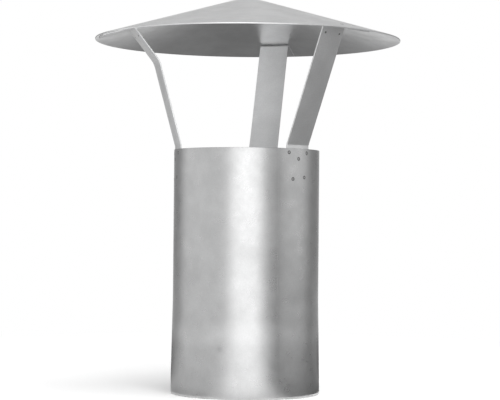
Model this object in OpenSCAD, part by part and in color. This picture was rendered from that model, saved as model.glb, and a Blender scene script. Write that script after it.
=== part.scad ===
// Length of flue pipe with a conical rain cap held over it on three bent straps.
// The origin is the centre of the pipe's lower rim, Z is up and -Y is the front.
// Directions are turned from +X towards +Y, and every part is formed from plain sheet or strip.

/* [Pipe] */
// Outside diameter of the pipe
pipe_d = 120; // [100:1:150]
// Thickness of the pipe's sheet
pipe_sheet = 0.6; // [0.5:0.1:1]
// Length of the pipe from its lower rim to its upper rim
pipe_len = 200; // [150:5:400]

/* [Socket at the lower end] */
// Play around a flue pipe of the same diameter pushed up into the socket, on the radius
socket_play = 0.6; // [0.3:0.1:1]
// Length of the socket's straight part
socket_len = 14; // [8:1:30]
// Height above the lower rim where the pipe starts to widen
flare_top = 76; // [50:1:110]

/* [Rain cap] */
// Outside diameter of the cap at its edge
cap_d = 252; // [220:2:320]
// Rise of the cone from its edge to its point, before the point is rounded
cap_rise = 36.5; // [25:0.5:60]
// Thickness of the cap's sheet
cap_sheet = 1; // [0.6:0.1:1.2]
// Radius that rounds the point of the cone
cap_point_r = 65; // [10:1:80]
// Open height between the pipe's upper rim and the cap's edge
cap_gap = 90; // [70:1:140]

/* [Straps] */
// Width of a strap
strap_w = 25; // [15:1:35]
// Thickness of a strap
strap_t = 1; // [0.8:0.1:1.5]
// Length of a strap's leg down inside the pipe
leg_len = 30; // [26:1:60]
// Height above the pipe's rim where a strap starts to lean out
lip_h = 3; // [2:0.5:8]
// Distance from the pipe's axis where a strap meets the cap
strap_top_r = 97.5; // [90:0.5:104]
// Distance from the end of a strap's tab in to the cap's edge
tab_inset = 3; // [1:0.5:8]
// Direction of the rear strap
rear_dir = 76; // [70:1:80]
// Direction of the left strap
left_dir = 193; // [188:1:200]
// Direction of the right strap
right_dir = 315; // [308:1:320]

/* [Kink in the left strap] */
// Distance of the kink from the pipe's axis
kink_r = 77; // [76:0.5:80]
// Height of the kink above the pipe's rim
kink_h = 71; // [66:1:74]

/* [Weld marks] */
// Diameter of a weld mark on the pipe and the cap
mark_d = 3.4; // [2:0.1:4]
// Depth of a weld mark
mark_depth = 0.18; // [0.1:0.02:0.24]
// Diameter of a clamp mark near the top of a strap
clamp_d = 2; // [1.5:0.1:3]

/* [Hidden] */
$fn = 180;
bend_steps = 6;

// Radii of the pipe's bore above the flare and of its socket
bore_r = pipe_d / 2 - pipe_sheet;
socket_r = pipe_d / 2 + socket_play;

// The cone's slope, and the edge of its underside
cap_slope = atan(cap_rise / (cap_d / 2));
cap_z = pipe_len + cap_gap;
under_r = cap_d / 2 - cap_sheet * sin(cap_slope);
point_z = cap_z + cap_sheet * cos(cap_slope) + cap_rise;

// Radii along the middle of a strap's thickness at its three kinds of bend
lip_bend_r = 3;
kink_bend_r = 20;
top_bend_r = 2.5;

// Weld marks over each strap: [across the strap, below the pipe's upper rim]
pipe_marks = [[-11, 3.3], [9, 3.3], [-1, 8.3], [-7, 24.5], [6, 23]];
// Weld marks over each tab: [across the strap, in from the cap's edge]
cap_marks = [[-7, 16], [7, 16]];
// Clamp marks on each strap: [across the strap, below the top bend]
clamp_marks = [[-8, 8], [8, 8]];

sheet_colour = "#b4b5b6";
strap_colour = "#a9abad";

function unit(v) = v / norm(v);
function left_of(v) = [-v[1], v[0]];
function turned(v, a) = [v[0] * cos(a) - v[1] * sin(a), v[0] * sin(a) + v[1] * cos(a)];

// Height of the middle of a tab at a distance from the axis, with its upper face on the cap
function tab_z(r) = cap_z + (under_r - r) * tan(cap_slope) - strap_t / 2 / cos(cap_slope);

// Points around one bend of a strip, on the face that lies off to the left of its middle
function bend(corner, from, to, radius, off) =
    let (
        u = unit(corner - from),
        v = unit(to - corner),
        turn = atan2(cross(u, v), u * v),
        side = sign(turn),
        centre = corner - radius * tan(abs(turn) / 2) * u + side * radius * left_of(u)
    )
    [for (i = [0:bend_steps]) centre + (off - side * radius) * left_of(turned(u, turn * i / bend_steps))];

// One face of a strip along a path, where radii has one bend for each corner between the ends
function face(path, radii, off) =
    let (last = len(path) - 1)
    concat(
        [path[0] + off * left_of(unit(path[1] - path[0]))],
        [for (i = [1:last - 1]) each bend(path[i], path[i - 1], path[i + 1], radii[i - 1], off)],
        [path[last] + off * left_of(unit(path[last] - path[last - 1]))]
    );

function reversed(list) = [for (i = [len(list) - 1:-1:0]) list[i]];
function strip(path, radii) =
    concat(face(path, radii, strap_t / 2), reversed(face(path, radii, -strap_t / 2)));

// The straight stretches of a strap, as [distance from the axis, height]
leg_r = bore_r - strap_t / 2;
leg_foot = [leg_r, pipe_len - leg_len];
lip = [leg_r, pipe_len + lip_h];
kink = [kink_r, pipe_len + kink_h];
top_bend = [strap_top_r, tab_z(strap_top_r)];
tab_r = under_r - tab_inset;
tab_end = [tab_r, tab_z(tab_r)];

straight_path = [leg_foot, lip, top_bend, tab_end];
straight_radii = [lip_bend_r, top_bend_r];
kinked_path = [leg_foot, lip, kink, top_bend, tab_end];
kinked_radii = [lip_bend_r, kink_bend_r, top_bend_r];

// A shallow round dent of a diameter, centred on the origin in a surface that faces +X
module dent(d) {
    ball_r = (d * d / 4 + mark_depth * mark_depth) / (2 * mark_depth);
    translate([ball_r - mark_depth, 0, 0])
        sphere(r = ball_r);
}

// The three directions in which something sits, one for each strap
module at_straps() {
    for (dir = [rear_dir, left_dir, right_dir])
        rotate([0, 0, dir])
            children();
}

module flue_pipe() {
    outer_r = pipe_d / 2;
    wall = [
        [socket_r, 0],
        [socket_r + pipe_sheet, 0],
        [socket_r + pipe_sheet, socket_len],
        [outer_r, flare_top],
        [outer_r, pipe_len],
        [bore_r, pipe_len],
        [bore_r, flare_top],
        [socket_r, socket_len]
    ];
    color(sheet_colour)
        difference() {
            rotate_extrude()
                polygon(wall);
            at_straps()
                for (mark = pipe_marks)
                    rotate([0, 0, asin(mark[0] / outer_r)])
                        translate([outer_r, 0, pipe_len - mark[1]])
                            dent(mark_d);
        }
}

// The round point of the cone, from the axis out to where the straight side starts
function cap_point(radius) =
    let (centre_z = point_z - cap_point_r / cos(cap_slope))
    [for (i = [0:bend_steps])
        let (a = cap_slope * i / bend_steps)
        [radius * sin(a), centre_z + radius * cos(a)]];

module rain_cap() {
    edge_z = cap_z + cap_sheet * cos(cap_slope);
    section = concat(
        cap_point(cap_point_r),
        [[cap_d / 2, edge_z], [under_r, cap_z]],
        reversed(cap_point(cap_point_r - cap_sheet))
    );
    color(sheet_colour)
        difference() {
            rotate_extrude()
                polygon(section);
            at_straps()
                for (mark = cap_marks)
                    translate([cap_d / 2, 0, edge_z])
                        rotate([0, cap_slope, 0])
                            translate([-mark[1], mark[0], 0])
                                rotate([0, -90, 0])
                                    dent(mark_d);
        }
}

// A strap along a path, cut from the ring that the path sweeps so that its leg fits the pipe's bore
module strap(dir, path, radii) {
    upper = path[len(path) - 3];
    lean = unit(top_bend - upper);
    color(strap_colour)
        rotate([0, 0, dir])
            difference() {
                intersection() {
                    rotate_extrude()
                        polygon(strip(path, radii));
                    translate([0, -strap_w / 2, 0])
                        cube([cap_d, strap_w, point_z]);
                }
                for (mark = clamp_marks) {
                    place = top_bend - mark[1] * lean - strap_t / 2 * left_of(lean);
                    rotate([0, 0, asin(mark[0] / place[0])])
                        translate([place[0], 0, place[1]])
                            rotate([0, atan2(lean[0], lean[1]), 0])
                                dent(clamp_d);
                }
            }
}

module strap_rear() {
    strap(rear_dir, straight_path, straight_radii);
}

module strap_left() {
    strap(left_dir, kinked_path, kinked_radii);
}

module strap_right() {
    strap(right_dir, straight_path, straight_radii);
}

flue_pipe();
rain_cap();
strap_rear();
strap_left();
strap_right();
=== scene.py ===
"""A length of stove pipe under a low rain cap on three bent straps, in a plain studio.

Lengths are metres in the part's own frame: the origin is the centre of the pipe's lower rim, Z is up
and the front faces -Y. A direction is turned from +X towards +Y, and a bearing in the studio is
turned from the front towards +X.
"""
import logging
import math
from dataclasses import dataclass, field
from enum import Enum
from typing import Optional, Sequence, Union

import bmesh
import bpy
from mathutils import Matrix, Vector

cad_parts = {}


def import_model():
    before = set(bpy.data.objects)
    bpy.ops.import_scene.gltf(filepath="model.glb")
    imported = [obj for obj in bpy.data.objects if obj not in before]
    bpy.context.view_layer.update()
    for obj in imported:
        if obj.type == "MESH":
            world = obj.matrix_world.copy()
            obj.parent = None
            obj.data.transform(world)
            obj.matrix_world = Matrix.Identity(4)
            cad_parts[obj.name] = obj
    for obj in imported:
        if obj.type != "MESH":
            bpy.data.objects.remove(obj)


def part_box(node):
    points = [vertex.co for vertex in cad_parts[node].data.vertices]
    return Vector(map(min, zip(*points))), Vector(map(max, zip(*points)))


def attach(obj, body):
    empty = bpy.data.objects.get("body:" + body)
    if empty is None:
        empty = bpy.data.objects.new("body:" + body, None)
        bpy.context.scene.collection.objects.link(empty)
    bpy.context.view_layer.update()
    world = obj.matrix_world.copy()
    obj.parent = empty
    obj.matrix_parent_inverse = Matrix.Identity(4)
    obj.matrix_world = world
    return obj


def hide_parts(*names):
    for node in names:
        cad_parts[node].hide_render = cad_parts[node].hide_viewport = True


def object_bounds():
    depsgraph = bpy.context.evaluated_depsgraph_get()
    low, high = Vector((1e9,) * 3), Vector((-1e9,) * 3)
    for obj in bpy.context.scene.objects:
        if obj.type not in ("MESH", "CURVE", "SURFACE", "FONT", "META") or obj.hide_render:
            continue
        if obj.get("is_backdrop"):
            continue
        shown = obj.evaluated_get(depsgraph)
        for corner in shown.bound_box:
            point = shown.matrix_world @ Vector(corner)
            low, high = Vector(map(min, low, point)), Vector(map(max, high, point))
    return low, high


MM = 0.001
BODY = "root"

log = logging.getLogger("stove_pipe")

Point = tuple[float, float]
Value = Union[float, tuple, bpy.types.NodeSocket]


class StrapPlace(Enum):
    """Where a strap stands around the pipe, by the name of the solid it dresses."""

    REAR = "strap_rear"
    LEFT = "strap_left"
    RIGHT = "strap_right"


class Marked(Enum):
    """What a mark was pressed by, which sets how it reads."""

    WELD = "weld"
    CLAMP = "clamp"


STRAP_DIRECTIONS = {StrapPlace.REAR: 76.0, StrapPlace.LEFT: 193.0, StrapPlace.RIGHT: 315.0}


class Graph:
    """A node tree with short calls to add nodes and feed their sockets."""

    def __init__(self, tree: bpy.types.NodeTree) -> None:
        """Keeps the tree.

        Args:
            tree: The shader or geometry tree to build in.
        """
        self.tree = tree

    def add(self, kind: str, **settings: object) -> bpy.types.Node:
        """Adds a node.

        Args:
            kind: The node's type name.
            settings: Properties to set on the node.

        Returns:
            The new node.
        """
        node = self.tree.nodes.new(kind)
        for name, value in settings.items():
            setattr(node, name, value)
        return node

    def feed(self, socket: bpy.types.NodeSocket, value: Value) -> None:
        """Joins a socket to another one, or sets its value."""
        if isinstance(value, bpy.types.NodeSocket):
            self.tree.links.new(value, socket)
        else:
            socket.default_value = value

    def math(self, operation: str, *values: Value, clamp: bool = False) -> bpy.types.NodeSocket:
        """Works out a number.

        Args:
            operation: The Math node's operation.
            values: Its inputs in order.
            clamp: Whether the result is held between 0 and 1.

        Returns:
            The result's socket.
        """
        node = self.add("ShaderNodeMath", operation=operation, use_clamp=clamp)
        for socket, value in zip(node.inputs, values):
            self.feed(socket, value)
        return node.outputs[0]

    def vector(self, operation: str, *values: Value) -> bpy.types.Node:
        """Adds a Vector Math node and feeds its inputs in order."""
        node = self.add("ShaderNodeVectorMath", operation=operation)
        for socket, value in zip(node.inputs, values):
            self.feed(socket, value)
        return node

    def ramp(self, value: Value, low: float, high: float, to_low: float = 0.0, to_high: float = 1.0,
             smooth: bool = True) -> bpy.types.NodeSocket:
        """Maps a number from one range to another.

        Args:
            value: The number.
            low: Where the old range starts.
            high: Where the old range ends.
            to_low: What low becomes.
            to_high: What high becomes.
            smooth: Whether the change eases in and out.

        Returns:
            The mapped number's socket.
        """
        node = self.add("ShaderNodeMapRange")
        node.interpolation_type = "SMOOTHSTEP" if smooth else "LINEAR"
        for socket, item in zip(node.inputs, (value, low, high, to_low, to_high)):
            self.feed(socket, item)
        return node.outputs[0]

    def noise(self, place: Value, scale: float, detail: float = 2.0,
              roughness: float = 0.5) -> bpy.types.NodeSocket:
        """Adds a noise pattern.

        Args:
            place: Where the pattern is read.
            scale: Features per metre.
            detail: How many finer layers it has.
            roughness: How strong the finer layers are.

        Returns:
            The pattern's socket, between 0 and 1.
        """
        node = self.add("ShaderNodeTexNoise")
        self.feed(node.inputs["Vector"], place)
        self.feed(node.inputs["Scale"], scale)
        self.feed(node.inputs["Detail"], detail)
        self.feed(node.inputs["Roughness"], roughness)
        return node.outputs["Fac"]

    def mix_colour(self, factor: Value, first: Value, second: Value) -> bpy.types.NodeSocket:
        """Mixes two colours by a factor."""
        node = self.add("ShaderNodeMix", data_type="RGBA")
        sockets = {socket.identifier: socket for socket in node.inputs}
        self.feed(sockets["Factor_Float"], factor)
        self.feed(sockets["A_Color"], first)
        self.feed(sockets["B_Color"], second)
        return next(socket for socket in node.outputs if socket.identifier == "Result_Color")


def grey(level: float, tint: float = 0.0) -> tuple[float, float, float, float]:
    """A grey as a linear colour.

    Args:
        level: How light it is.
        tint: How far it leans towards blue.

    Returns:
        Red, green, blue and alpha.
    """
    return (level * (1.0 - tint), level, level * (1.0 + tint), 1.0)


@dataclass(frozen=True)
class Smudge:
    """A soft darker spot on a sheet, such as a handling mark.

    Attributes:
        place: Its centre.
        radius: Where it fades out.
        depth: How much it darkens the sheet at its centre.
    """

    place: tuple[float, float, float]
    radius: float
    depth: float


@dataclass(frozen=True)
class Seam:
    """A flush lengthwise weld in a rolled sheet.

    Attributes:
        direction: Where it runs, in degrees.
        width: Width of the weld line.
        heated: Width of the darker band that the weld's heat leaves.
    """

    direction: float
    width: float
    heated: float


@dataclass(frozen=True)
class PaintedHighlightRing:
    """A painted highlight: a lighter ring where the flare's tilted surface catches more light, painted into the
    sheet's colour.

    Attributes:
        height: Height of its middle.
        reach: How far it fades out above and below.
        gain: How much lighter it is.
    """

    height: float
    reach: float
    gain: float


@dataclass(frozen=True)
class SheetFinish:
    """Coated steel sheet with a fine grain.

    Attributes:
        name: The material's name.
        colour: Lightness of the bare sheet.
        roughness: Mean roughness.
        grain: Size of the grain.
        grain_depth: Height of the grain.
        wave: Size of the slow unevenness of the sheet.
        wave_depth: Height of that unevenness.
        streak_depth: Height of the streaks that the rolls leave up the sheet.
        mottle: How much the tone varies over the sheet.
    """

    name: str
    colour: float
    roughness: float
    grain: float = 0.9 * MM
    grain_depth: float = 0.004 * MM
    wave: float = 38 * MM
    wave_depth: float = 0.05 * MM
    streak_depth: float = 0.0
    mottle: float = 0.06

    def material(self, seam: Optional[Seam] = None, rings: Sequence[PaintedHighlightRing] = (),
                 smudges: Sequence[Smudge] = ()) -> bpy.types.Material:
        """Builds the node material.

        Args:
            seam: A weld line up the sheet, if it has one.
            rings: Painted highlight rings around the sheet.
            smudges: Soft dark spots.

        Returns:
            The material.
        """
        material = bpy.data.materials.new(self.name)
        material.use_nodes = True
        graph = Graph(material.node_tree)
        shader = material.node_tree.nodes["Principled BSDF"]
        place = graph.add("ShaderNodeTexCoord").outputs["Object"]
        tone = self._tone(graph, place, seam, rings, smudges)
        graph.feed(shader.inputs["Base Color"], graph.mix_colour(tone, grey(0.0), grey(1.0, 0.004)))
        graph.feed(shader.inputs["Roughness"], self._roughness(graph, place))
        graph.feed(shader.inputs["Normal"], self._surface(graph, place, seam))
        shader.inputs["Metallic"].default_value = 1.0
        return material

    def _tone(self, graph: Graph, place: Value, seam: Optional[Seam], rings: Sequence[PaintedHighlightRing],
              smudges: Sequence[Smudge]) -> bpy.types.NodeSocket:
        """Works out how light the sheet is at a place."""
        clouds = graph.noise(place, 1 / (22 * MM), detail=5.0, roughness=0.6)
        tone = graph.ramp(clouds, 0.3, 0.7, self.colour * (1 - self.mottle),
                          self.colour * (1 + self.mottle))
        specks = graph.noise(place, 1 / self.grain, detail=1.0)
        tone = graph.math("MULTIPLY", tone, graph.ramp(specks, 0.25, 0.75, 0.97, 1.03))
        # Painted highlight: each ring lightens the colour where the flare's tilt catches more light.
        for ring in rings:
            tone = graph.math("MULTIPLY", tone, self._painted_ring_highlight(graph, place, ring))
        for smudge in smudges:
            tone = graph.math("MULTIPLY", tone, self._smudge(graph, place, smudge))
        if seam:
            heat = graph.ramp(self._off_seam(graph, place, seam), 0.0, seam.heated / 2, 0.93, 1.0)
            tone = graph.math("MULTIPLY", tone, heat)
        return tone

    def _painted_ring_highlight(self, graph: Graph, place: Value, ring: PaintedHighlightRing) -> bpy.types.NodeSocket:
        """The gain of a painted highlight ring at a place, with a wandering edge."""
        parts = graph.add("ShaderNodeSeparateXYZ")
        graph.feed(parts.inputs[0], place)
        wander = graph.ramp(graph.noise(place, 1 / (30 * MM)), 0.0, 1.0, -5 * MM, 5 * MM, smooth=False)
        height = graph.math("ADD", parts.outputs["Z"], wander)
        off = graph.math("ABSOLUTE", graph.math("SUBTRACT", height, ring.height))
        return graph.ramp(off, 0.0, ring.reach, 1.0 + ring.gain, 1.0)

    def _smudge(self, graph: Graph, place: Value, smudge: Smudge) -> bpy.types.NodeSocket:
        """How much of the sheet's tone a smudge leaves at a place."""
        blur = graph.ramp(graph.noise(place, 1 / (5 * MM), detail=3.0), 0.0, 1.0, 0.6, 1.4)
        off = graph.vector("DISTANCE", place, smudge.place).outputs["Value"]
        return graph.ramp(graph.math("MULTIPLY", off, blur), 0.0, smudge.radius, 1.0 - smudge.depth, 1.0)

    def _off_seam(self, graph: Graph, place: Value, seam: Seam) -> bpy.types.NodeSocket:
        """How far a place lies from the seam's line."""
        turn = graph.add("ShaderNodeVectorRotate", rotation_type="Z_AXIS")
        graph.feed(turn.inputs["Vector"], place)
        graph.feed(turn.inputs["Angle"], -math.radians(seam.direction))
        parts = graph.add("ShaderNodeSeparateXYZ")
        graph.feed(parts.inputs[0], turn.outputs[0])
        behind = graph.math("LESS_THAN", parts.outputs["X"], 0.0)
        return graph.math("ADD", graph.math("ABSOLUTE", parts.outputs["Y"]), behind)

    def _roughness(self, graph: Graph, place: Value) -> bpy.types.NodeSocket:
        """Works out the roughness at a place."""
        patches = graph.noise(place, 1 / (9 * MM), detail=4.0, roughness=0.6)
        return graph.ramp(patches, 0.3, 0.7, self.roughness - 0.03, self.roughness + 0.03)

    def _surface(self, graph: Graph, place: Value, seam: Optional[Seam]) -> bpy.types.NodeSocket:
        """Works out the bumped normal from the sheet's unevenness, grain, roll streaks and seam."""
        wave = graph.math("MULTIPLY", graph.noise(place, 1 / self.wave, detail=1.0), self.wave_depth)
        grain = graph.noise(place, 1 / self.grain, detail=2.0, roughness=0.6)
        height = graph.math("MULTIPLY_ADD", grain, self.grain_depth, wave)
        if self.streak_depth:
            along = graph.vector("MULTIPLY", place, (1.0, 1.0, 0.02)).outputs[0]
            streaks = graph.noise(along, 1 / (2.2 * MM), detail=2.0)
            height = graph.math("MULTIPLY_ADD", streaks, self.streak_depth, height)
        if seam:
            bead = graph.ramp(self._off_seam(graph, place, seam), 0.0, seam.width / 2, 0.03 * MM, 0.0)
            height = graph.math("ADD", bead, height)
        bump = graph.add("ShaderNodeBump")
        bump.inputs["Distance"].default_value = 1.0
        graph.feed(bump.inputs["Height"], height)
        return bump.outputs[0]


@dataclass(frozen=True)
class MarkFinish:
    """Steel pressed by a weld tip or a clamp: a dark ring around a lighter middle. The dark parts are painted
    shade of the pressed dip, with a weld's heat tint in the ring as well.

    Attributes:
        name: The material's name.
        middle: Lightness of the middle.
        ring: Lightness of the ring, dark as painted shade in the pressed groove.
        skirt: Lightness of the outer edge.
    """

    name: str
    middle: float
    ring: float
    skirt: float

    def material(self) -> bpy.types.Material:
        """Builds the node material, which reads the mark's own distance from its middle."""
        material = bpy.data.materials.new(self.name)
        material.use_nodes = True
        graph = Graph(material.node_tree)
        shader = material.node_tree.nodes["Principled BSDF"]
        across = graph.add("ShaderNodeAttribute", attribute_name="across").outputs["Fac"]
        # Painted shade: the dark ring stands in for the shade in the pressed groove.
        inner = graph.ramp(across, 0.2, 0.55, self.middle, self.ring)
        tone = graph.math("ADD", inner, graph.ramp(across, 0.75, 1.0, 0.0, self.skirt - self.ring))
        graph.feed(shader.inputs["Base Color"], graph.mix_colour(tone, grey(0.0), grey(1.0)))
        shader.inputs["Metallic"].default_value = 1.0
        shader.inputs["Roughness"].default_value = 0.42
        return material


def finish_piece(piece: bpy.types.Object, nodes: Sequence[str]) -> None:
    """Lets a finished piece stand for its solids and logs it.

    Args:
        piece: The piece, with its place in its mesh.
        nodes: The solids that it stands for, or none for a piece laid on others.
    """
    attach(piece, BODY)
    if nodes:
        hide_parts(*nodes)
    log.info("%s: %d faces", piece.name, len(piece.data.polygons))


def link_mesh(name: str, mesh: bpy.types.Mesh, material: bpy.types.Material) -> bpy.types.Object:
    """Puts a mesh into the scene as an object at the origin, smooth apart from its sharp edges."""
    piece = bpy.data.objects.new(name, mesh)
    bpy.context.scene.collection.objects.link(piece)
    mesh.materials.clear()
    mesh.materials.append(material)
    mesh.shade_smooth()
    mesh.set_sharp_from_angle(angle=math.radians(30))
    return piece


@dataclass(frozen=True)
class Lathe:
    """A closed section turned around the Z axis.

    Attributes:
        section: The section's corners as (distance from the axis, height).
        longest: The longest stretch between two rows of points.
        steps: How many points go round.
    """

    section: tuple[Point, ...]
    longest: float = 4 * MM
    steps: int = 256

    def rows(self) -> list[Point]:
        """The section's points, close enough together for smooth shading."""
        points: list[Point] = []
        for start, end in zip(self.section, self.section[1:] + self.section[:1]):
            run = math.dist(start, end)
            cuts = max(1, math.ceil(run / self.longest))
            for i in range(cuts):
                part = i / cuts
                points.append((start[0] + part * (end[0] - start[0]), start[1] + part * (end[1] - start[1])))
        return points

    def mesh(self, name: str) -> bpy.types.Mesh:
        """Turns the section.

        Args:
            name: The mesh's name.

        Returns:
            A closed mesh whose faces point outwards.
        """
        rows = self.rows()
        form = bmesh.new()
        rings = []
        for step in range(self.steps):
            turn = 2 * math.pi * step / self.steps
            rings.append([form.verts.new((r * math.cos(turn), r * math.sin(turn), z)) for r, z in rows])
        for step in range(self.steps):
            here, there = rings[step], rings[(step + 1) % self.steps]
            for i in range(len(rows)):
                j = (i + 1) % len(rows)
                form.faces.new((here[i], there[i], there[j], here[j]))
        bmesh.ops.remove_doubles(form, verts=form.verts, dist=1e-7)
        bmesh.ops.recalc_face_normals(form, faces=form.faces)
        mesh = bpy.data.meshes.new(name)
        form.to_mesh(mesh)
        form.free()
        return mesh


def eased(section: Sequence[Point], corners: Sequence[int], ease: float) -> tuple[Point, ...]:
    """Cuts small chamfers on some corners of a section.

    Args:
        section: The section's corners.
        corners: Which of them are cut.
        ease: How far along each side a cut starts.

    Returns:
        The new corners.
    """
    result: list[Point] = []
    for i, corner in enumerate(section):
        if i not in corners:
            result.append(corner)
            continue
        for other in (section[i - 1], section[(i + 1) % len(section)]):
            part = ease / math.dist(corner, other)
            result.append((corner[0] + part * (other[0] - corner[0]), corner[1] + part * (other[1] - corner[1])))
    return tuple(result)


@dataclass(frozen=True)
class MarkSpot:
    """A pressed mark on a surface.

    Attributes:
        place: Its middle.
        outward: The surface's outward direction there.
    """

    place: Vector
    outward: Vector


@dataclass
class PressedMarks:
    """Round marks pressed into sheet, laid on a surface by one geometry tree.

    Attributes:
        name: The piece's name.
        kind: What pressed them.
        spots: Where they are.
        slot: Name of the material slot of the sheet that they are in; not used.
        radius: Radius of one mark.
        lip: Height of the ring that the tip pushed up.
        sunk: How far the rim of a mark is sunk into the curved surface.
    """

    name: str
    kind: Marked
    spots: list[MarkSpot]
    slot: str
    radius: float = 1.7 * MM
    lip: float = 0.09 * MM
    sunk: float = 0.03 * MM

    def finish(self) -> MarkFinish:
        """The marks' finish."""
        # The clamp marks' dark middle is painted shade of the pressed dip.
        if self.kind is Marked.WELD:
            return MarkFinish("weld_mark", middle=0.55, ring=0.16, skirt=0.5)
        return MarkFinish("clamp_mark", middle=0.2, ring=0.14, skirt=0.4)

    def build(self) -> bpy.types.Object:
        """Builds the marks as one plain mesh.

        Returns:
            The piece.
        """
        seeds = bpy.data.meshes.new(self.name + "_seeds")
        seeds.from_pydata([spot.place for spot in self.spots], [], [])
        outward = seeds.attributes.new("outward", "FLOAT_VECTOR", "POINT")
        for i, spot in enumerate(self.spots):
            outward.data[i].vector = spot.outward
        material = self.finish().material()
        tree = self._tree(material)
        inputs = {"Radius": self.radius, "Lip": self.lip, "Sunk": self.sunk}
        mesh = bake(self.name, seeds, tree, inputs)
        piece = link_mesh(self.name, mesh, material)
        finish_piece(piece, ())
        return piece

    def _tree(self, material: bpy.types.Material) -> bpy.types.NodeTree:
        """The tree that lays a dished disc with a raised ring on each point."""
        tree = new_geometry_tree("pressed_marks", {"Radius": 1.7 * MM, "Lip": 0.09 * MM, "Sunk": 0.0})
        graph = Graph(tree)
        entry = tree.nodes["Group Input"].outputs
        disc = graph.add("GeometryNodeMeshCone", fill_type="NONE")
        disc.inputs["Vertices"].default_value = 28
        disc.inputs["Side Segments"].default_value = 9
        graph.feed(disc.inputs["Radius Top"], 0.0)
        graph.feed(disc.inputs["Radius Bottom"], entry["Radius"])
        graph.feed(disc.inputs["Depth"], entry["Radius"])
        parts = graph.add("ShaderNodeSeparateXYZ")
        graph.feed(parts.inputs[0], graph.add("GeometryNodeInputPosition").outputs[0])
        flat = graph.add("ShaderNodeCombineXYZ")
        graph.feed(flat.inputs["X"], parts.outputs["X"])
        graph.feed(flat.inputs["Y"], parts.outputs["Y"])
        length = graph.vector("LENGTH", flat.outputs[0]).outputs["Value"]
        across = graph.math("DIVIDE", length, entry["Radius"], clamp=True)
        store = graph.add("GeometryNodeStoreNamedAttribute", data_type="FLOAT", domain="POINT")
        graph.feed(store.inputs["Geometry"], disc.outputs["Mesh"])
        store.inputs["Name"].default_value = "across"
        graph.feed(store.inputs["Value"], across)
        rise = graph.ramp(across, 0.25, 0.7)
        fall = graph.ramp(across, 0.7, 1.0, 1.0, 0.0)
        ring = graph.math("MULTIPLY", rise, fall)
        height = graph.math("SUBTRACT", graph.math("MULTIPLY", ring, entry["Lip"]), entry["Sunk"])
        height = graph.math("ADD", height, graph.math("MULTIPLY", graph.ramp(across, 0.0, 0.9, 1.0, 0.0),
                                                      entry["Sunk"]))
        lifted = graph.add("ShaderNodeCombineXYZ")
        graph.feed(lifted.inputs["X"], parts.outputs["X"])
        graph.feed(lifted.inputs["Y"], parts.outputs["Y"])
        graph.feed(lifted.inputs["Z"], height)
        shape = graph.add("GeometryNodeSetPosition")
        graph.feed(shape.inputs["Geometry"], store.outputs["Geometry"])
        graph.feed(shape.inputs["Position"], lifted.outputs[0])
        facing = graph.add("GeometryNodeInputNamedAttribute", data_type="FLOAT_VECTOR")
        facing.inputs["Name"].default_value = "outward"
        aim = graph.add("FunctionNodeAlignRotationToVector", axis="Z")
        graph.feed(aim.inputs["Vector"], facing.outputs["Attribute"])
        place = graph.add("GeometryNodeInstanceOnPoints")
        graph.feed(place.inputs["Points"], entry["Geometry"])
        graph.feed(place.inputs["Instance"], shape.outputs["Geometry"])
        graph.feed(place.inputs["Rotation"], aim.outputs[0])
        end_tree(graph, place.outputs["Instances"], material)
        return tree


def new_geometry_tree(name: str, sizes: dict[str, float]) -> bpy.types.NodeTree:
    """Starts a geometry tree with named inputs.

    Args:
        name: The tree's name.
        sizes: Each number input with its default.

    Returns:
        The tree, with its two group nodes.
    """
    tree = bpy.data.node_groups.new(name, "GeometryNodeTree")
    tree.interface.new_socket("Geometry", in_out="INPUT", socket_type="NodeSocketGeometry")
    tree.interface.new_socket("Geometry", in_out="OUTPUT", socket_type="NodeSocketGeometry")
    for label, size in sizes.items():
        socket = tree.interface.new_socket(label, in_out="INPUT", socket_type="NodeSocketFloat")
        socket.default_value = size
    tree.nodes.new("NodeGroupInput")
    tree.nodes.new("NodeGroupOutput")
    return tree


def end_tree(graph: Graph, geometry: bpy.types.NodeSocket, material: bpy.types.Material) -> None:
    """Ends a geometry tree in real faces with a material."""
    real = graph.add("GeometryNodeRealizeInstances")
    graph.feed(real.inputs["Geometry"], geometry)
    paint = graph.add("GeometryNodeSetMaterial")
    graph.feed(paint.inputs["Geometry"], real.outputs["Geometry"])
    paint.inputs["Material"].default_value = material
    graph.feed(graph.tree.nodes["Group Output"].inputs["Geometry"], paint.outputs["Geometry"])


def bake(name: str, start: bpy.types.Mesh, tree: bpy.types.NodeTree,
         inputs: dict[str, float]) -> bpy.types.Mesh:
    """Runs a geometry tree on a mesh and keeps the result as a plain mesh.

    Args:
        name: The new mesh's name.
        start: What the tree works on.
        tree: The tree.
        inputs: The value of each named input.

    Returns:
        The new mesh.
    """
    holder = bpy.data.objects.new(name + "_holder", start)
    bpy.context.scene.collection.objects.link(holder)
    modifier = holder.modifiers.new("shape", "NODES")
    modifier.node_group = tree
    for item in tree.interface.items_tree:
        if item.item_type == "SOCKET" and item.in_out == "INPUT" and item.name in inputs:
            modifier[item.identifier] = inputs[item.name]
    depsgraph = bpy.context.evaluated_depsgraph_get()
    mesh = bpy.data.meshes.new_from_object(holder.evaluated_get(depsgraph))
    mesh.name = name
    holder.modifiers.remove(modifier)
    bpy.data.objects.remove(holder)
    return mesh


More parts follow.
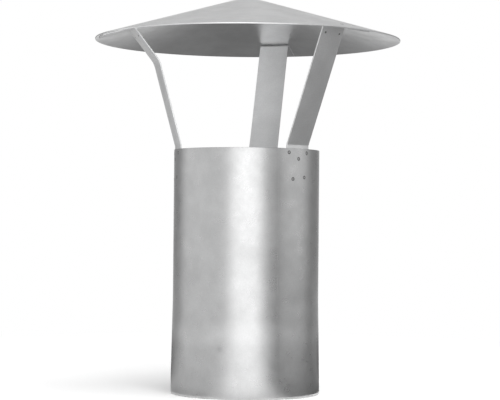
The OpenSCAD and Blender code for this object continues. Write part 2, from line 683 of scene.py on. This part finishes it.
@dataclass
class FluePipe:
    """The rolled pipe, widened at its lower end.

    Attributes:
        radius: Outside radius above the flare.
        sheet: Thickness of the sheet.
        play: Radial play around the pipe that enters the socket.
        socket_length: Length of the socket's straight part.
        flare_top: Height where the widening starts.
        ease: Width of the break on the rims' edges.
    """

    radius: float = 60 * MM
    sheet: float = 0.6 * MM
    play: float = 0.6 * MM
    socket_length: float = 14 * MM
    flare_top: float = 76 * MM
    ease: float = 0.12 * MM
    finish: SheetFinish = SheetFinish("rolled_sheet", colour=0.5, roughness=0.3, streak_depth=0.002 * MM)
    seam: Seam = Seam(direction=-65.0, width=0.9 * MM, heated=7 * MM)
    # Painted highlight rings where the flare's tilt catches more light.
    rings: tuple[PaintedHighlightRing, ...] = (
        PaintedHighlightRing(height=51 * MM, reach=13 * MM, gain=0.14),
        PaintedHighlightRing(height=4 * MM, reach=15 * MM, gain=0.13),
    )
    marks: tuple[Point, ...] = (
        (-11 * MM, 3.3 * MM),
        (9 * MM, 3.3 * MM),
        (-1 * MM, 8.3 * MM),
        (-7 * MM, 24.5 * MM),
        (6 * MM, 23 * MM),
    )

    @property
    def bore(self) -> float:
        """Radius of the bore above the flare."""
        return self.radius - self.sheet

    @property
    def length(self) -> float:
        """Height of the upper rim."""
        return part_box("flue_pipe")[1].z

    def section(self) -> tuple[Point, ...]:
        """The wall's section, with the sharp edges of both rims broken."""
        socket = self.radius + self.play
        corners = (
            (socket, 0.0),
            (socket + self.sheet, 0.0),
            (socket + self.sheet, self.socket_length),
            (self.radius, self.flare_top),
            (self.radius, self.length),
            (self.bore, self.length),
            (self.bore, self.flare_top),
            (socket, self.socket_length),
        )
        return eased(corners, (0, 1, 4, 5), self.ease)

    def mark_spots(self) -> list[MarkSpot]:
        """Where the straps' welds show on the outside of the pipe."""
        spots = []
        for direction in STRAP_DIRECTIONS.values():
            for across, below in self.marks:
                turn = math.radians(direction) + math.asin(across / self.radius)
                outward = Vector((math.cos(turn), math.sin(turn), 0.0))
                place = outward * self.radius + Vector((0.0, 0.0, self.length - below))
                spots.append(MarkSpot(place, outward))
        return spots

    def build(self) -> None:
        """Builds the pipe and its weld marks."""
        mesh = Lathe(self.section()).mesh("pipe_shell")
        smudge = Smudge((-20 * MM, -57 * MM, 40 * MM), 4 * MM, 0.14)
        material = self.finish.material(self.seam, self.rings, (smudge,))
        finish_piece(link_mesh("pipe_shell", mesh, material), ("flue_pipe",))
        PressedMarks("pipe_weld_marks", Marked.WELD, self.mark_spots(), "pipe_sheet").build()


@dataclass
class RainCap:
    """The low cone over the pipe.

    Attributes:
        sheet: Thickness of the sheet.
        rise: Rise of the cone from its edge to its point, before the point is rounded.
        point_radius: Radius that rounds the point.
        ease: Width of the break on the edge.
        marks: Weld marks over each tab as (across the strap, in from the cap's edge).
    """

    sheet: float = 1 * MM
    rise: float = 36.5 * MM
    point_radius: float = 65 * MM
    ease: float = 0.15 * MM
    finish: SheetFinish = SheetFinish("pressed_sheet", colour=0.8, roughness=0.34)
    marks: tuple[Point, ...] = ((-7 * MM, 16 * MM), (7 * MM, 16 * MM))
    smudges: tuple[Smudge, ...] = ()

    @property
    def radius(self) -> float:
        """Radius of the edge."""
        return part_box("rain_cap")[1].x

    @property
    def base(self) -> float:
        """Height of the edge's lower corner."""
        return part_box("rain_cap")[0].z

    @property
    def slope(self) -> float:
        """Angle of the cone's side below level."""
        return math.atan(self.rise / self.radius)

    @property
    def under_radius(self) -> float:
        """Radius of the edge's lower corner."""
        return self.radius - self.sheet * math.sin(self.slope)

    @property
    def edge_height(self) -> float:
        """Height of the edge's upper corner."""
        return self.base + self.sheet * math.cos(self.slope)

    def under_height(self, radius: float) -> float:
        """Height of the underside at a distance from the axis."""
        return self.base + (self.under_radius - radius) * math.tan(self.slope)

    def point(self, radius: float, steps: int = 10) -> list[Point]:
        """The rounded point's arc from the axis outwards."""
        centre = self.edge_height + self.rise - self.point_radius / math.cos(self.slope)
        turns = [self.slope * i / steps for i in range(steps + 1)]
        return [(radius * math.sin(a), centre + radius * math.cos(a)) for a in turns]

    def section(self) -> tuple[Point, ...]:
        """The sheet's section from the point to the edge and back."""
        outer = self.point(self.point_radius)
        inner = self.point(self.point_radius - self.sheet)
        edge = [(self.radius, self.edge_height), (self.under_radius, self.base)]
        corners = (len(outer), len(outer) + 1)
        return eased(outer + edge + inner[::-1], corners, self.ease)

    def mark_spots(self) -> list[MarkSpot]:
        """Where the tabs' welds show on top of the cap."""
        spots = []
        for direction in STRAP_DIRECTIONS.values():
            turn = math.radians(direction)
            out = Vector((math.cos(turn), math.sin(turn), 0.0))
            side = Vector((-math.sin(turn), math.cos(turn), 0.0))
            for across, inset in self.marks:
                flat = out * (self.radius - inset * math.cos(self.slope)) + side * across
                away = flat.normalized()
                height = self.edge_height + (self.radius - flat.length) * math.tan(self.slope)
                outward = away * math.sin(self.slope) + Vector((0.0, 0.0, math.cos(self.slope)))
                spots.append(MarkSpot(flat + Vector((0.0, 0.0, height)), outward))
        return spots

    def build(self) -> None:
        """Builds the cap and its weld marks."""
        mesh = Lathe(self.section(), longest=6 * MM, steps=320).mesh("cap_cone")
        material = self.finish.material(smudges=self.smudges)
        finish_piece(link_mesh("cap_cone", mesh, material), ("rain_cap",))
        PressedMarks("cap_weld_marks", Marked.WELD, self.mark_spots(), "cap_sheet").build()


@dataclass(frozen=True)
class Bend:
    """A corner in a strip's path.

    Attributes:
        corner: Where the two straight stretches would meet, as (distance from the axis, height).
        radius: Radius of the bend at the middle of the strip's thickness.
    """

    corner: Point
    radius: float

    def points(self, start: Point, end: Point, steps: int = 14) -> list[Point]:
        """The rounded corner between the points before and after it."""
        corner = Vector(self.corner)
        into = (corner - Vector(start)).normalized()
        out = (Vector(end) - corner).normalized()
        turn = math.atan2(into.x * out.y - into.y * out.x, into.dot(out))
        side = math.copysign(1.0, turn)
        first = corner - into * self.radius * math.tan(abs(turn) / 2)
        centre = first + Vector((-into.y, into.x)) * self.radius * side
        points = []
        for i in range(steps + 1):
            angle = turn * i / steps
            ahead = Vector((into.x * math.cos(angle) - into.y * math.sin(angle),
                            into.x * math.sin(angle) + into.y * math.cos(angle)))
            points.append(tuple(centre - Vector((-ahead.y, ahead.x)) * self.radius * side))
        return points


@dataclass
class Strap:
    """A bent strip from the pipe's bore to the cap's underside.

    Attributes:
        place: Where it stands.
        pipe: The pipe that its leg is welded to.
        cap: The cap that its tab is welded to.
        steel: The strip's material.
        kink: A bend part of the way up, if it has one.
        width: Width of the strip.
        thickness: Thickness of the strip.
        leg: Length of the leg inside the pipe.
        lip: Height above the pipe's rim where it starts to lean out.
        top_radius: Distance from the axis where it meets the cap.
        tab_inset: Distance from the tab's end in to the cap's edge.
        ease: Width of the break on the strip's edges.
        clamps: Clamp marks as (across the strip, below the upper bend).
    """

    place: StrapPlace
    pipe: FluePipe
    cap: RainCap
    steel: bpy.types.Material
    kink: Optional[Bend] = None
    width: float = 25 * MM
    thickness: float = 1 * MM
    leg: float = 30 * MM
    lip: float = 3 * MM
    top_radius: float = 97.5 * MM
    tab_inset: float = 3 * MM
    ease: float = 0.12 * MM
    clamps: tuple[Point, ...] = ((-8 * MM, 8 * MM), (8 * MM, 8 * MM))

    def tab_point(self, radius: float) -> Point:
        """The middle of the tab's thickness at a distance from the axis."""
        drop = self.thickness / 2 / math.cos(self.cap.slope)
        return (radius, self.cap.under_height(radius) - drop)

    def path(self) -> list[Point]:
        """The middle of the strip's thickness from the leg's foot to the tab's end."""
        leg_radius = self.pipe.bore - self.thickness / 2
        foot = (leg_radius, self.pipe.length - self.leg)
        bends = [Bend((leg_radius, self.pipe.length + self.lip), 3 * MM)]
        if self.kink:
            bends.append(self.kink)
        bends.append(Bend(self.tab_point(self.top_radius), 2.5 * MM))
        end = self.tab_point(self.cap.under_radius - self.tab_inset)
        corners = [foot] + [bend.corner for bend in bends] + [end]
        points = [foot]
        for i, bend in enumerate(bends):
            points += bend.points(corners[i], corners[i + 2])
        return points + [end]

    def close_path(self, longest: float = 3 * MM) -> list[Point]:
        """The path with its straight stretches cut short, for even faces."""
        points: list[Point] = []
        path = self.path()
        for start, end in zip(path, path[1:]):
            cuts = max(1, math.ceil(math.dist(start, end) / longest))
            points += [(start[0] + (end[0] - start[0]) * i / cuts, start[1] + (end[1] - start[1]) * i / cuts)
                       for i in range(cuts)]
        return points + [path[-1]]

    def build(self) -> None:
        """Sweeps the strip along its path and bakes it."""
        points = self.close_path()
        spine = bpy.data.meshes.new("spine")
        spine.from_pydata([(r, 0.0, z) for r, z in points], [(i, i + 1) for i in range(len(points) - 1)], [])
        sizes = {
            "Width": self.width,
            "Thickness": self.thickness,
            "Ease": self.ease,
            "Direction": math.radians(STRAP_DIRECTIONS[self.place]),
        }
        name = self.place.value + "_strip"
        mesh = bake(name, spine, self._tree(sizes), sizes)
        finish_piece(link_mesh(name, mesh, self.steel), (self.place.value,))
        PressedMarks(self.place.value + "_clamp_marks", Marked.CLAMP, self.clamp_spots(), "strap_steel",
                     radius=1 * MM, lip=0.05 * MM).build()

    def clamp_spots(self) -> list[MarkSpot]:
        """Where a clamp pressed the outer side, under the upper bend."""
        corner = Vector(self.tab_point(self.top_radius))
        lip = (self.pipe.bore - self.thickness / 2, self.pipe.length + self.lip)
        up = (corner - Vector(self.kink.corner if self.kink else lip)).normalized()
        away = Vector((up.y, -up.x))
        turn = math.radians(STRAP_DIRECTIONS[self.place])
        out = Vector((math.cos(turn), math.sin(turn), 0.0))
        side = Vector((-math.sin(turn), math.cos(turn), 0.0))
        spots = []
        for across, below in self.clamps:
            radius, height = corner - up * below + away * (self.thickness / 2)
            flat = out * math.sqrt(radius ** 2 - across ** 2) + side * across
            outward = flat.normalized() * away.x + Vector((0.0, 0.0, away.y))
            spots.append(MarkSpot(flat + Vector((0.0, 0.0, height)), outward))
        return spots

    def _tree(self, sizes: dict[str, float]) -> bpy.types.NodeTree:
        """The tree that sweeps the strip and wraps it round the axis, so that it lies on pipe and cone."""
        tree = new_geometry_tree("bent_strip", sizes)
        graph = Graph(tree)
        entry = tree.nodes["Group Input"].outputs
        spine = graph.add("GeometryNodeMeshToCurve")
        graph.feed(spine.inputs["Mesh"], entry["Geometry"])
        outline = graph.add("GeometryNodeCurvePrimitiveQuadrilateral", mode="RECTANGLE")
        graph.feed(outline.inputs["Width"], entry["Thickness"])
        graph.feed(outline.inputs["Height"], entry["Width"])
        broken = graph.add("GeometryNodeFilletCurve", mode="POLY")
        graph.feed(broken.inputs["Curve"], outline.outputs["Curve"])
        broken.inputs["Count"].default_value = 1
        graph.feed(broken.inputs["Radius"], entry["Ease"])
        fine = graph.add("GeometryNodeSubdivideCurve")
        graph.feed(fine.inputs["Curve"], broken.outputs["Curve"])
        fine.inputs["Cuts"].default_value = 9
        sweep = graph.add("GeometryNodeCurveToMesh")
        graph.feed(sweep.inputs["Curve"], spine.outputs["Curve"])
        graph.feed(sweep.inputs["Profile Curve"], fine.outputs["Curve"])
        sweep.inputs["Fill Caps"].default_value = True
        parts = graph.add("ShaderNodeSeparateXYZ")
        graph.feed(parts.inputs[0], graph.add("GeometryNodeInputPosition").outputs[0])
        out, side, height = parts.outputs
        square = graph.math("SUBTRACT", graph.math("MULTIPLY", out, out), graph.math("MULTIPLY", side, side))
        wrapped = graph.add("ShaderNodeCombineXYZ")
        graph.feed(wrapped.inputs["X"], graph.math("SQRT", square))
        graph.feed(wrapped.inputs["Y"], side)
        graph.feed(wrapped.inputs["Z"], height)
        turned = graph.add("ShaderNodeVectorRotate", rotation_type="Z_AXIS")
        graph.feed(turned.inputs["Vector"], wrapped.outputs[0])
        graph.feed(turned.inputs["Angle"], entry["Direction"])
        shape = graph.add("GeometryNodeSetPosition")
        graph.feed(shape.inputs["Geometry"], sweep.outputs["Mesh"])
        graph.feed(shape.inputs["Position"], turned.outputs[0])
        end_tree(graph, shape.outputs["Geometry"], self.steel)
        return tree


@dataclass(frozen=True)
class SoftBox:
    """An area lamp that faces the object and stands behind the tent's cloth, so gloss doesn't see it.

    Attributes:
        name: The lamp's name.
        bearing: Where it stands, in degrees from the front towards the right.
        elevation: How high it stands, in degrees.
        distance: How far it is from the object.
        width: Its width.
        height: Its height.
        power: Its power in watts.
    """

    name: str
    bearing: float
    elevation: float
    distance: float
    width: float
    height: float
    power: float

    def build(self, aim: Vector) -> None:
        """Adds the lamp, aimed at a point."""
        data = bpy.data.lights.new(self.name, "AREA")
        data.shape = "RECTANGLE"
        data.size, data.size_y = self.width, self.height
        data.energy = self.power
        lamp = bpy.data.objects.new(self.name, data)
        bpy.context.scene.collection.objects.link(lamp)
        lamp.visible_glossy = False
        lamp.location = aim + from_bearing(self.bearing, self.elevation) * self.distance
        lamp.rotation_euler = (aim - lamp.location).to_track_quat("-Z", "Y").to_euler()


def from_bearing(bearing: float, elevation: float) -> Vector:
    """The direction of a bearing and an elevation, both in degrees."""
    turn, lift = math.radians(bearing), math.radians(elevation)
    return Vector((math.sin(turn) * math.cos(lift), -math.cos(turn) * math.cos(lift), math.sin(lift)))


@dataclass(frozen=True)
class Card:
    """A soft-edged card on the tent's cloth, or a flag where it is darker than the cloth.

    Attributes:
        bearing: Where its middle is, in degrees from the front towards the right.
        reach: How far it runs to each side before its edge fades, in degrees.
        fade: Width of its soft edge, in degrees.
        gain: How light it is against the plain cloth.
    """

    bearing: float
    reach: float
    fade: float
    gain: float


@dataclass(frozen=True)
class LightTent:
    """The inside of a light tent, which only gloss sees: a wall, a cover over it and a table.

    Every level is how light the plain cloth is, where 1 is white.

    Attributes:
        radius: Distance of the wall from the axis.
        wall_top: Height where the cover starts.
        cover_top: Height where the cover ends, open above.
        wall: The wall's level.
        wall_cards: The bright card in front, the flag to its right and the two flags behind.
        cover: The cover's level.
        cover_cards: The card over the front.
        table: The table's level.
        table_cards: The bright sweep in front and the flag along the right side.
        table_shade: The object's own shade on the table close behind it.
    """

    radius: float = 1.5
    wall_top: float = 0.5
    cover_top: float = 1.95
    wall: float = 1.0
    wall_cards: tuple[Card, ...] = (
        Card(bearing=0, reach=12, fade=20, gain=2.2),
        Card(bearing=45, reach=5, fade=15, gain=0.6),
        Card(bearing=-140, reach=10, fade=25, gain=0.3),
        Card(bearing=135, reach=10, fade=35, gain=0.3),
    )
    cover: float = 0.5
    cover_cards: tuple[Card, ...] = (
        Card(bearing=0, reach=20, fade=30, gain=2.2),
    )
    table: float = 0.7
    table_cards: tuple[Card, ...] = (
        Card(bearing=0, reach=15, fade=25, gain=1.9),
        Card(bearing=80, reach=35, fade=20, gain=0.3),
    )
    table_shade: Card = Card(bearing=180, reach=30, fade=45, gain=0.2)

    def build(self) -> None:
        """Adds the tent and the table's cloth."""
        side = Lathe(((self.radius, 0.0), (self.radius, self.cover_top), (self.radius + 0.01, self.cover_top),
                      (self.radius + 0.01, 0.0)), longest=0.5, steps=96)
        add_card("tent_side", side.mesh("tent_side"), self._side_material())
        cloth = Lathe(((0.0625, 1.5 * MM), (self.radius, 1.5 * MM), (self.radius, 2 * MM),
                       (0.0625, 2 * MM)), longest=0.5, steps=96)
        add_card("tent_table", cloth.mesh("tent_table"), self._table_material())

    def _side_material(self) -> bpy.types.Material:
        """The wall's cloth, which turns into the cover's above its top."""
        material, graph, parts = glow_base("tent_side")
        low = self._level(graph, parts, self.wall, self.wall_cards)
        high = self._level(graph, parts, self.cover, self.cover_cards)
        rise = graph.ramp(parts["Z"], self.wall_top - 0.12, self.wall_top + 0.12)
        return self._finish(material, graph, self._blend(graph, rise, low, high))

    def _table_material(self) -> bpy.types.Material:
        """The table's cloth, shaded close to the object."""
        material, graph, parts = glow_base("tent_table")
        flat = graph.math("SQRT", graph.math("ADD", graph.math("MULTIPLY", parts["X"], parts["X"]),
                                             graph.math("MULTIPLY", parts["Y"], parts["Y"])))
        near = self._level(graph, parts, self.table, self.table_cards + (self.table_shade,))
        far = self._level(graph, parts, self.table, self.table_cards)
        level = self._blend(graph, graph.ramp(flat, 0.5, 1.2), near, far)
        level = graph.math("MULTIPLY", level, graph.ramp(flat, 0.07, 0.14, 0.6, 1.0))
        return self._finish(material, graph, level)

    def _level(self, graph: Graph, parts: dict[str, bpy.types.NodeSocket], plain: float,
               cards: Sequence[Card]) -> bpy.types.NodeSocket:
        """Works out the level at a bearing from the plain cloth and the cards on it."""
        turn = graph.math("ARCTAN2", parts["X"], graph.math("MULTIPLY", parts["Y"], -1.0))
        bearing = graph.math("DEGREES", turn)
        level: Value = plain
        for card in cards:
            off = graph.math("WRAP", graph.math("SUBTRACT", bearing, card.bearing), 180.0, -180.0)
            off = graph.math("ABSOLUTE", off)
            gain = graph.ramp(off, card.reach, card.reach + card.fade, card.gain, 1.0)
            level = graph.math("MULTIPLY", gain, level)
        return level

    def _blend(self, graph: Graph, part: Value, first: Value, second: Value) -> bpy.types.NodeSocket:
        """Goes from one level to another."""
        step = graph.math("MULTIPLY", graph.math("SUBTRACT", second, first), part)
        return graph.math("ADD", first, step)

    def _finish(self, material: bpy.types.Material, graph: Graph, level: Value) -> bpy.types.Material:
        """Makes the cloth glow at a level."""
        glow = graph.add("ShaderNodeEmission")
        glow.inputs["Color"].default_value = grey(1.0)
        graph.feed(glow.inputs["Strength"], level)
        graph.feed(material.node_tree.nodes["Material Output"].inputs["Surface"], glow.outputs[0])
        return material


def glow_base(name: str) -> tuple[bpy.types.Material, Graph, dict[str, bpy.types.NodeSocket]]:
    """Starts a cloth's material.

    Args:
        name: The material's name.

    Returns:
        The material, its graph and the place's coordinates by letter.
    """
    material = bpy.data.materials.new(name)
    material.use_nodes = True
    graph = Graph(material.node_tree)
    split = graph.add("ShaderNodeSeparateXYZ")
    graph.feed(split.inputs[0], graph.add("ShaderNodeTexCoord").outputs["Object"])
    return material, graph, {name: split.outputs[name] for name in "XYZ"}


def add_card(name: str, mesh: bpy.types.Mesh, material: bpy.types.Material) -> bpy.types.Object:
    """Puts a card into the scene that only gloss sees."""
    card = bpy.data.objects.new(name, mesh)
    bpy.context.scene.collection.objects.link(card)
    mesh.materials.append(material)
    card.visible_camera = False
    card.visible_diffuse = False
    card.visible_shadow = False
    card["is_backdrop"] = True
    return card


@dataclass
class Studio:
    """A plain pale studio: a floor, a white surround, soft lamps and a tent for the metal.

    Attributes:
        surround: Strength of the light from the surround.
        floor_tone: Lightness of the floor.
        boxes: The lamps.
        tent: What the metal sees around it.
    """

    surround: float = 0.75
    floor_tone: float = 0.92
    boxes: list[SoftBox] = field(default_factory=lambda: [
        SoftBox("front_box", bearing=10, elevation=30, distance=2.1, width=1.5, height=1.2, power=30),
        SoftBox("top_box", bearing=60, elevation=68, distance=2.0, width=1.6, height=1.6, power=22),
    ])
    tent: LightTent = LightTent()

    def build(self, aim: Vector) -> None:
        """Builds the studio around a point."""
        self._surround()
        self._floor()
        self.tent.build()
        for box in self.boxes:
            box.build(aim)

    def _surround(self) -> None:
        """White behind the object and in its gloss, and a softer fill on the floor."""
        world = bpy.data.worlds.new("surround")
        world.use_nodes = True
        world.cycles.sampling_method = "NONE"
        bpy.context.scene.world = world
        graph = Graph(world.node_tree)
        background = world.node_tree.nodes["Background"]
        graph.feed(background.inputs["Color"], grey(1.0))
        strength = graph.ramp(self._seen(graph), 0.0, 1.0, self.surround, 1.0, smooth=False)
        graph.feed(background.inputs["Strength"], strength)

    def _seen(self, graph: Graph) -> bpy.types.NodeSocket:
        """Whether the camera, a gloss or a glass looks."""
        rays = graph.add("ShaderNodeLightPath").outputs
        seen = graph.math("MAXIMUM", rays["Is Camera Ray"], rays["Is Glossy Ray"])
        return graph.math("MAXIMUM", seen, rays["Is Transmission Ray"])

    def _floor(self) -> None:
        """A pale floor that fades into the white surround."""
        mesh = bpy.data.meshes.new("floor")
        reach = 30.0
        corners = [(-reach, -reach, 0.0), (reach, -reach, 0.0), (reach, reach, 0.0), (-reach, reach, 0.0)]
        mesh.from_pydata(corners, [], [(0, 1, 2, 3)])
        material = bpy.data.materials.new("floor")
        material.use_nodes = True
        graph = Graph(material.node_tree)
        shader = material.node_tree.nodes["Principled BSDF"]
        shader.inputs["Base Color"].default_value = grey(self.floor_tone)
        shader.inputs["Roughness"].default_value = 1.0
        shader.inputs["Specular IOR Level"].default_value = 0.0
        place = graph.add("ShaderNodeTexCoord").outputs["Object"]
        away = graph.vector("LENGTH", place).outputs["Value"]
        fade = graph.math("MULTIPLY", graph.ramp(away, 0.15, 0.75), self._seen(graph))
        white = graph.add("ShaderNodeEmission")
        mix = graph.add("ShaderNodeMixShader")
        graph.feed(mix.inputs[0], fade)
        graph.feed(mix.inputs[1], shader.outputs[0])
        graph.feed(mix.inputs[2], white.outputs[0])
        graph.feed(material.node_tree.nodes["Material Output"].inputs["Surface"], mix.outputs[0])
        mesh.materials.append(material)
        floor = bpy.data.objects.new("floor", mesh)
        bpy.context.scene.collection.objects.link(floor)
        floor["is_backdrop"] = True


@dataclass
class Viewpoint:
    """The camera that took the picture.

    Attributes:
        distance: How far it stands in front of the pipe's axis.
        height: Its height.
        right: How far it stands to the right of the axis.
        lens: Focal length on a 36 mm wide sensor, in millimetres.
        pitch: How far it looks up, in degrees.
        roll: How far it is turned so that the picture leans clockwise, in degrees.
    """

    distance: float = 1.369
    height: float = 0.139
    right: float = 0.0030
    lens: float = 119.2
    pitch: float = 0.84
    roll: float = 0.5

    def build(self) -> None:
        """Adds the camera and makes it the scene's own."""
        data = bpy.data.cameras.new("viewpoint")
        data.lens = self.lens
        data.sensor_width = 36.0
        data.clip_end = 200.0
        camera = bpy.data.objects.new("viewpoint", data)
        bpy.context.scene.collection.objects.link(camera)
        camera.location = (self.right, -self.distance, self.height)
        camera.rotation_mode = "XYZ"
        look = Vector((0.0, math.cos(math.radians(self.pitch)), math.sin(math.radians(self.pitch))))
        turn = look.to_track_quat("-Z", "Y").to_matrix().to_4x4()
        lean = Matrix.Rotation(math.radians(self.roll), 4, "Z")
        camera.rotation_euler = (turn @ lean).to_euler()
        bpy.context.scene.camera = camera


@dataclass
class CappedPipe:
    """The whole object: the pipe, its rain cap and three straps."""

    pipe: FluePipe = field(default_factory=FluePipe)
    cap: RainCap = field(default_factory=RainCap)
    strip: SheetFinish = SheetFinish("strip_steel", colour=0.75, roughness=0.45, mottle=0.04)

    def straps(self) -> list[Strap]:
        """The three straps, the left one kinked."""
        steel = self.strip.material()
        kink = Bend((77 * MM, self.pipe.length + 71 * MM), 20 * MM)
        return [
            Strap(StrapPlace.REAR, self.pipe, self.cap, steel),
            Strap(StrapPlace.LEFT, self.pipe, self.cap, steel, kink=kink),
            Strap(StrapPlace.RIGHT, self.pipe, self.cap, steel),
        ]

    def build(self) -> None:
        """Builds every piece in order."""
        self.pipe.build()
        self.cap.build()
        for strap in self.straps():
            strap.build()


def main() -> None:
    """Builds the studio, aimed at half the model's height, the camera and the object."""
    logging.basicConfig(level=logging.INFO, format="%(name)s: %(message)s")
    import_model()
    cad_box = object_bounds()
    bpy.context.scene.view_settings.view_transform = "Standard"
    Viewpoint().build()
    Studio().build(Vector((0.0, 0.0, cad_box[1][2] / 2)))
    CappedPipe().build()


if __name__ == "__main__":
    main()
